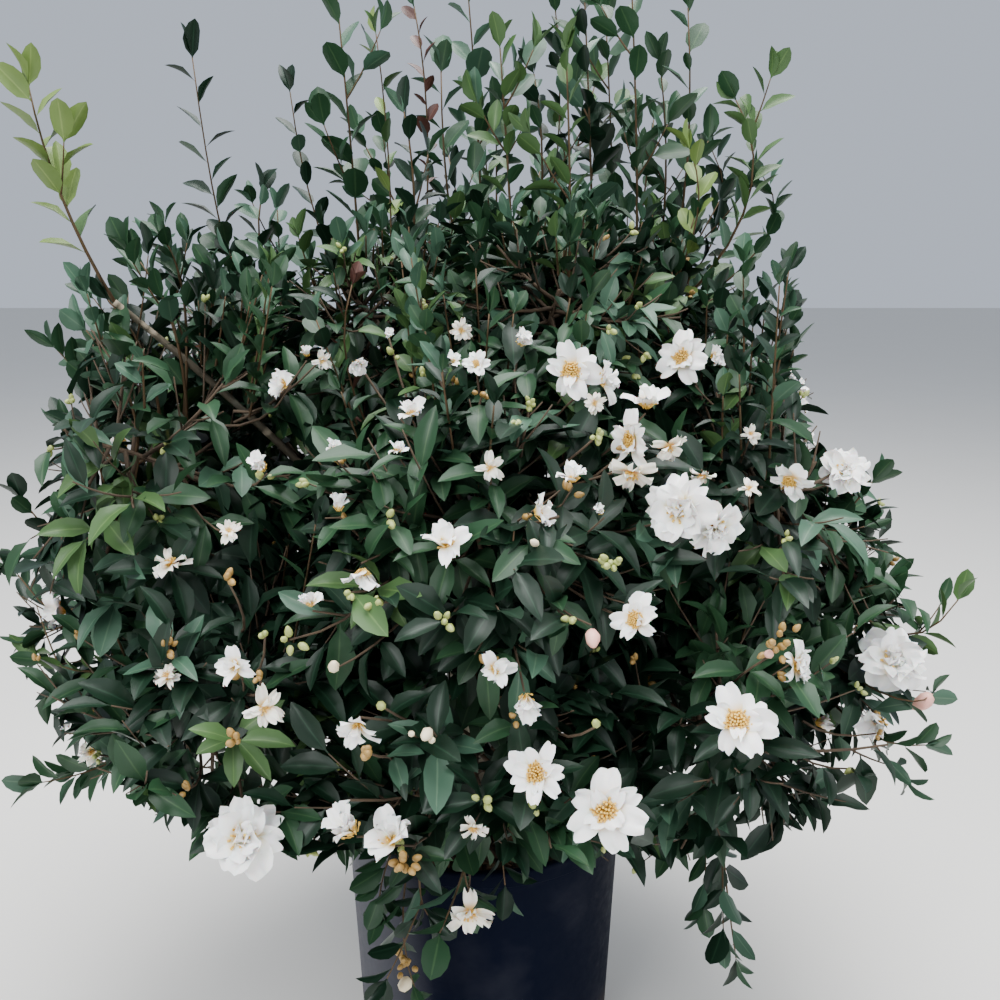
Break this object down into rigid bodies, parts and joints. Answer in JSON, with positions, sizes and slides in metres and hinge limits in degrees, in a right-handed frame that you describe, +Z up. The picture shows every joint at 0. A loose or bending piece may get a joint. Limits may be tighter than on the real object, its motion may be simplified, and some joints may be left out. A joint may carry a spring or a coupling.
{
  "type": "camellia shrub",
  "caption": "Evergreen shrub with glossy dark leaves and white blooms, in a round dark nursery pot: short stem, forked boughs, a full crown and long upright shoots over it.",
  "frame": {"origin": "centre of the pot's flat underside", "axes": "+Z up, -Y towards the viewer of the picture, +X to the viewer's right"},
  "size_m": [1.3422, 1.2004, 1.6407],
  "materials": {
    "pot": "satin",
    "potting_mix": "matte",
    "bark": "matte",
    "leaf": "satin",
    "young_leaf": "satin",
    "twig": "matte",
    "petal": "matte",
    "stamen": "matte",
    "bud": "satin"
  },
  "bodies": {
    "root": {"pot": "pot", "potting_mix": "potting_mix", "stem": "bark", "bough_top_front": "bark", "bough_top_right": "bark", "bough_top_back": "bark", "bough_top_left": "bark", "bough_waist_front": "bark", "bough_waist_front_right": "bark", "bough_waist_back_right": "bark", "bough_waist_back": "bark", "bough_waist_back_left": "bark", "bough_waist_front_left": "bark", "bough_skirt_front": "bark", "bough_skirt_front_right": "bark", "bough_skirt_right": "bark", "bough_skirt_back_right": "bark", "bough_skirt_back": "bark", "bough_skirt_back_left": "bark", "bough_skirt_left": "bark", "bough_skirt_front_left": "bark", "bough_far_left_shoot": "bark", "bough_near_left_shoot": "bark", "top_front": "leaf", "top_right": "leaf", "top_back": "leaf", "top_left": "leaf", "waist_front": "leaf", "waist_front_right": "leaf", "waist_back_right": "leaf", "waist_back": "leaf", "waist_back_left": "leaf", "waist_front_left": "leaf", "skirt_front": "leaf", "skirt_front_right": "leaf", "skirt_right": "leaf", "skirt_back_right": "leaf", "skirt_back": "leaf", "skirt_back_left": "leaf", "skirt_left": "leaf", "skirt_front_left": "leaf", "far_left_shoot": "leaf", "near_left_shoot": "leaf"}
  },
  "joints": []
}
